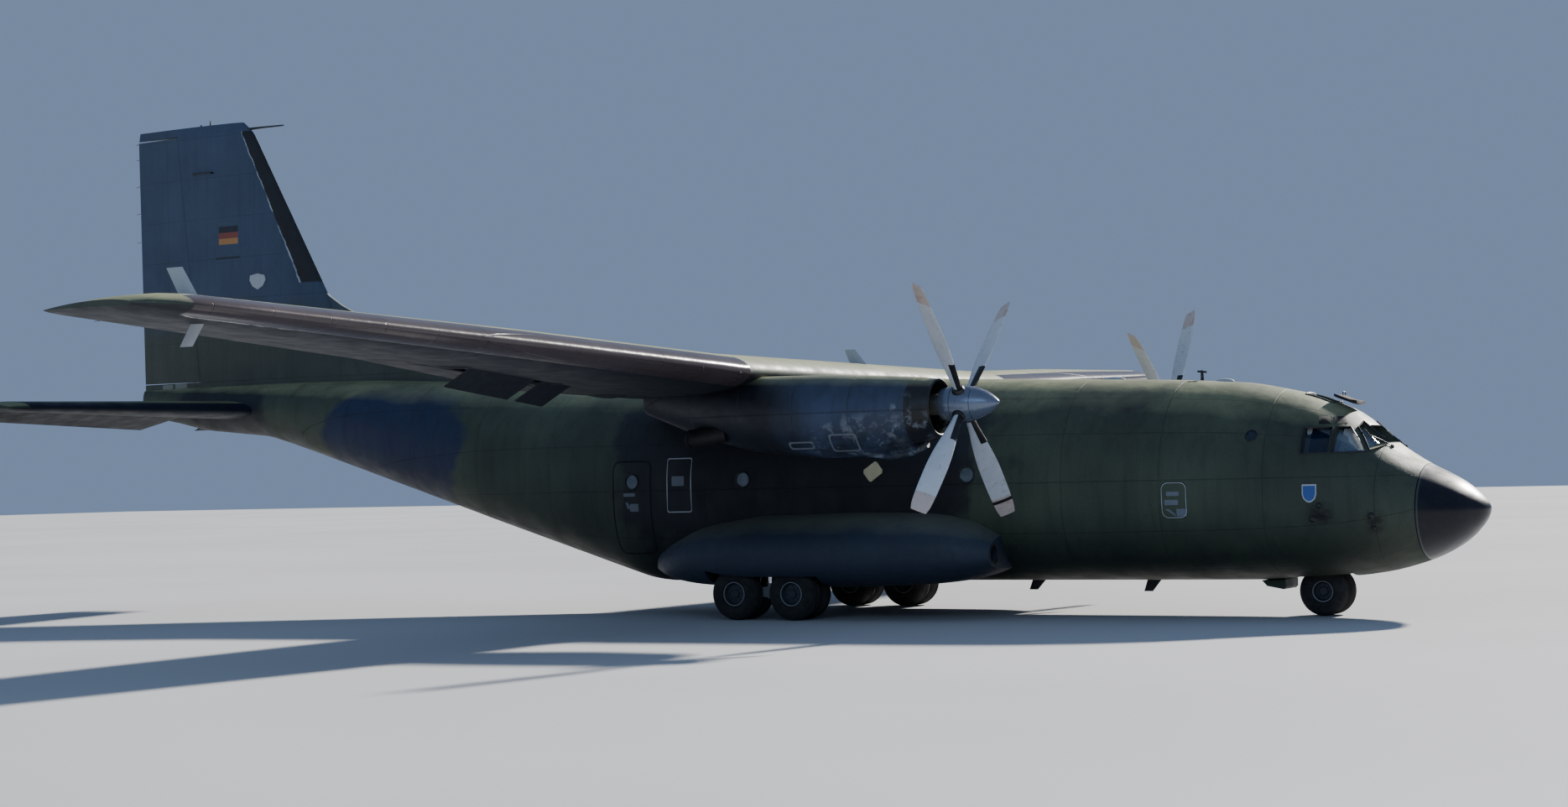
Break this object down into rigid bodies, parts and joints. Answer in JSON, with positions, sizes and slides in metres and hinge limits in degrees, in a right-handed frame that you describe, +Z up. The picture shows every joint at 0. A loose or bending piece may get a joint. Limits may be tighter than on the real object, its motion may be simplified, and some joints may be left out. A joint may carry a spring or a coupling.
{
  "type": "twin-turboprop military transport aeroplane",
  "caption": "High-wing military transport aeroplane parked on its wheels, with propellers, rear loading ramp, lowered airbrakes, tall fin and sponsons for the main gear.",
  "frame": {"origin": "ground level under the middle of the bounding box", "axes": "+X towards the nose, +Y to port along the span, +Z up"},
  "size_m": [32.246, 39.98, 11.55],
  "materials": {
    "camouflage_paint": "matt olive green paint, worn",
    "blue_grey_paint": "matt dark blue-grey paint, stained",
    "radome_paint": "glossy black",
    "propeller_paint": "satin light grey",
    "gear_paint": "satin grey",
    "engine_metal": "bare metal",
    "tyre": "matt black",
    "glazing": "clear, dark inside",
    "seat_cloth": "woven, matt"
  },
  "bodies": {
    "airframe": {"radome": "radome_paint", "cockpit_shell": "camouflage_paint", "cockpit_glazing": "glazing", "cockpit_deck": "camouflage_paint", "instrument_panel": "camouflage_paint", "pilot_seat_right": "seat_cloth", "pilot_seat_left": "seat_cloth", "hull_floor": "camouflage_paint", "hull_roof": "camouflage_paint", "hull_side_right": "camouflage_paint", "paratroop_door_right": "camouflage_paint", "side_hatch_right": "camouflage_paint", "nose_hatch": "camouflage_paint", "hull_side_left": "camouflage_paint", "paratroop_door_left": "camouflage_paint", "side_hatch_left": "camouflage_paint", "rear_hull": "camouflage_paint", "tail_cone": "camouflage_paint", "wing_centre": "camouflage_paint", "outer_wing_right": "camouflage_paint", "outer_wing_left": "camouflage_paint", "nacelle_right": "blue_grey_paint", "engine_right": "engine_metal", "nacelle_left": "blue_grey_paint", "engine_left": "engine_metal", "fin": "blue_grey_paint", "tailplane_right": "camouflage_paint", "tailplane_left": "camouflage_paint", "sponson_right": "camouflage_paint", "main_leg_right": "gear_paint", "sponson_left": "camouflage_paint", "main_leg_left": "gear_paint", "nose_leg": "gear_paint", "nose_gear_door": "camouflage_paint"},
    "nose_strut": {"nose_knuckle": "gear_paint"},
    "roof_hatch": {"roof_hatch": "camouflage_paint"},
    "crew_door": {"crew_door": "camouflage_paint"},
    "ramp": {"ramp": "camouflage_paint"},
    "rear_door": {"rear_door": "camouflage_paint"},
    "rudder": {"rudder": "blue_grey_paint"},
    "nose_wheels": {"nose_wheels": "tyre"},
    "flap_inner_right": {"flap_inner_right": "camouflage_paint"},
    "flap_inner_left": {"flap_inner_left": "camouflage_paint"},
    "flap_outer_right": {"flap_outer_right": "camouflage_paint"},
    "flap_outer_left": {"flap_outer_left": "camouflage_paint"},
    "aileron_right": {"aileron_right": "camouflage_paint"},
    "aileron_left": {"aileron_left": "camouflage_paint"},
    "elevator_right": {"elevator_right": "camouflage_paint"},
    "elevator_left": {"elevator_left": "camouflage_paint"},
    "airbrake_right": {"airbrake_right": "blue_grey_paint"},
    "airbrake_left": {"airbrake_left": "blue_grey_paint"},
    "propeller_right": {"propeller_right": "propeller_paint"},
    "propeller_left": {"propeller_left": "propeller_paint"},
    "main_wheels_front_right": {"main_wheels_front_right": "tyre"},
    "main_wheels_front_left": {"main_wheels_front_left": "tyre"},
    "main_wheels_rear_right": {"main_wheels_rear_right": "tyre"},
    "main_wheels_rear_left": {"main_wheels_rear_left": "tyre"}
  },
  "joints": [
    {"name": "propeller_right_turn", "type": "hinge", "parent": "airframe", "child": "propeller_right", "pos_m": [8.22, -5.455, 4.04], "axis": [1, 0, 0], "continuous": true},
    {"name": "propeller_left_turn", "type": "hinge", "parent": "airframe", "child": "propeller_left", "pos_m": [8.22, 5.455, 4.04], "axis": [1, 0, 0], "continuous": true},
    {"name": "nose_steering", "type": "hinge", "parent": "airframe", "child": "nose_strut", "pos_m": [13.15, 0, 0.46], "axis": [0, 0, 1], "range_deg": [-55, 55]},
    {"name": "nose_wheels_roll", "type": "hinge", "parent": "nose_strut", "child": "nose_wheels", "pos_m": [13.15, 0, 0.46], "axis": [0, 1, 0], "continuous": true},
    {"name": "main_wheels_front_right_roll", "type": "hinge", "parent": "airframe", "child": "main_wheels_front_right", "pos_m": [3.31, -2.55, 0.52], "axis": [0, 1, 0], "continuous": true},
    {"name": "main_wheels_rear_right_roll", "type": "hinge", "parent": "airframe", "child": "main_wheels_rear_right", "pos_m": [2.03, -2.55, 0.52], "axis": [0, 1, 0], "continuous": true},
    {"name": "main_wheels_front_left_roll", "type": "hinge", "parent": "airframe", "child": "main_wheels_front_left", "pos_m": [3.31, 2.55, 0.52], "axis": [0, 1, 0], "continuous": true},
    {"name": "main_wheels_rear_left_roll", "type": "hinge", "parent": "airframe", "child": "main_wheels_rear_left", "pos_m": [2.03, 2.55, 0.52], "axis": [0, 1, 0], "continuous": true},
    {"name": "ramp_hinge", "type": "hinge", "parent": "airframe", "child": "ramp", "pos_m": [-0.955, 0, 0.66], "axis": [0, -1, 0], "range_deg": [0, 26]},
    {"name": "rear_door_hinge", "type": "hinge", "parent": "airframe", "child": "rear_door", "pos_m": [-8.7, 0, 3.36], "axis": [0, -1, 0], "range_deg": [0, 30]},
    {"name": "crew_door_hinge", "type": "hinge", "parent": "airframe", "child": "crew_door", "pos_m": [11.175, 1.75, 1.272], "axis": [-1, 0, 0], "range_deg": [0, 125]},
    {"name": "roof_hatch_hinge", "type": "hinge", "parent": "airframe", "child": "roof_hatch", "pos_m": [13.42, 0, 4.029], "axis": [0, 1, 0], "range_deg": [-178, 0]},
    {"name": "rudder_hinge", "type": "hinge", "parent": "airframe", "child": "rudder", "pos_m": [-14.1, 0, 5.42], "axis": [-0.1095, 0, 0.994], "range_deg": [-25, 25]},
    {"name": "flap_inner_right_hinge", "type": "hinge", "parent": "airframe", "child": "flap_inner_right", "pos_m": [0.6471, -2.4, 4.639], "axis": [-0.0052, 0.9999, -0.014], "range_deg": [-40, 0]},
    {"name": "flap_outer_right_hinge", "type": "hinge", "parent": "airframe", "child": "flap_outer_right", "pos_m": [0.6998, -8, 4.7773], "axis": [-0.0291, 0.9971, -0.0697], "range_deg": [-40, 0]},
    {"name": "aileron_right_hinge", "type": "hinge", "parent": "airframe", "child": "aileron_right", "pos_m": [0.7481, -12.2, 5.0627], "axis": [-0.0335, 0.9984, -0.0447], "range_deg": [-20, 20]},
    {"name": "airbrake_right_hinge", "type": "hinge", "parent": "airframe", "child": "airbrake_right", "pos_m": [1.6086, -8.05, 4.5533], "axis": [0.007, 0.9971, -0.076], "range_deg": [-25, 33]},
    {"name": "elevator_right_hinge", "type": "hinge", "parent": "airframe", "child": "elevator_right", "pos_m": [-14.0618, -0.95, 4.6955], "axis": [0.0192, 0.9998, -0.0003], "range_deg": [-9, 41]},
    {"name": "flap_inner_left_hinge", "type": "hinge", "parent": "airframe", "child": "flap_inner_left", "pos_m": [0.6471, 2.4, 4.639], "axis": [0.0052, 0.9999, 0.014], "range_deg": [-40, 0]},
    {"name": "flap_outer_left_hinge", "type": "hinge", "parent": "airframe", "child": "flap_outer_left", "pos_m": [0.6998, 8, 4.7773], "axis": [0.0291, 0.9971, 0.0697], "range_deg": [-40, 0]},
    {"name": "aileron_left_hinge", "type": "hinge", "parent": "airframe", "child": "aileron_left", "pos_m": [0.7481, 12.2, 5.0627], "axis": [0.0335, 0.9984, 0.0447], "range_deg": [-20, 20]},
    {"name": "airbrake_left_hinge", "type": "hinge", "parent": "airframe", "child": "airbrake_left", "pos_m": [1.6086, 8.05, 4.5533], "axis": [-0.007, 0.9971, 0.076], "range_deg": [-25, 33]},
    {"name": "elevator_left_hinge", "type": "hinge", "parent": "airframe", "child": "elevator_left", "pos_m": [-14.0618, 0.95, 4.6955], "axis": [-0.0192, 0.9998, 0.0003], "range_deg": [-9, 41]}
  ],
  "couplings": [
    {"joint": "flap_inner_left_hinge", "follows": "flap_inner_right_hinge", "ratio": 1},
    {"joint": "flap_outer_right_hinge", "follows": "flap_inner_right_hinge", "ratio": 1},
    {"joint": "flap_outer_left_hinge", "follows": "flap_inner_right_hinge", "ratio": 1},
    {"joint": "airbrake_left_hinge", "follows": "airbrake_right_hinge", "ratio": 1},
    {"joint": "aileron_left_hinge", "follows": "aileron_right_hinge", "ratio": -1},
    {"joint": "elevator_left_hinge", "follows": "elevator_right_hinge", "ratio": 1}
  ]
}
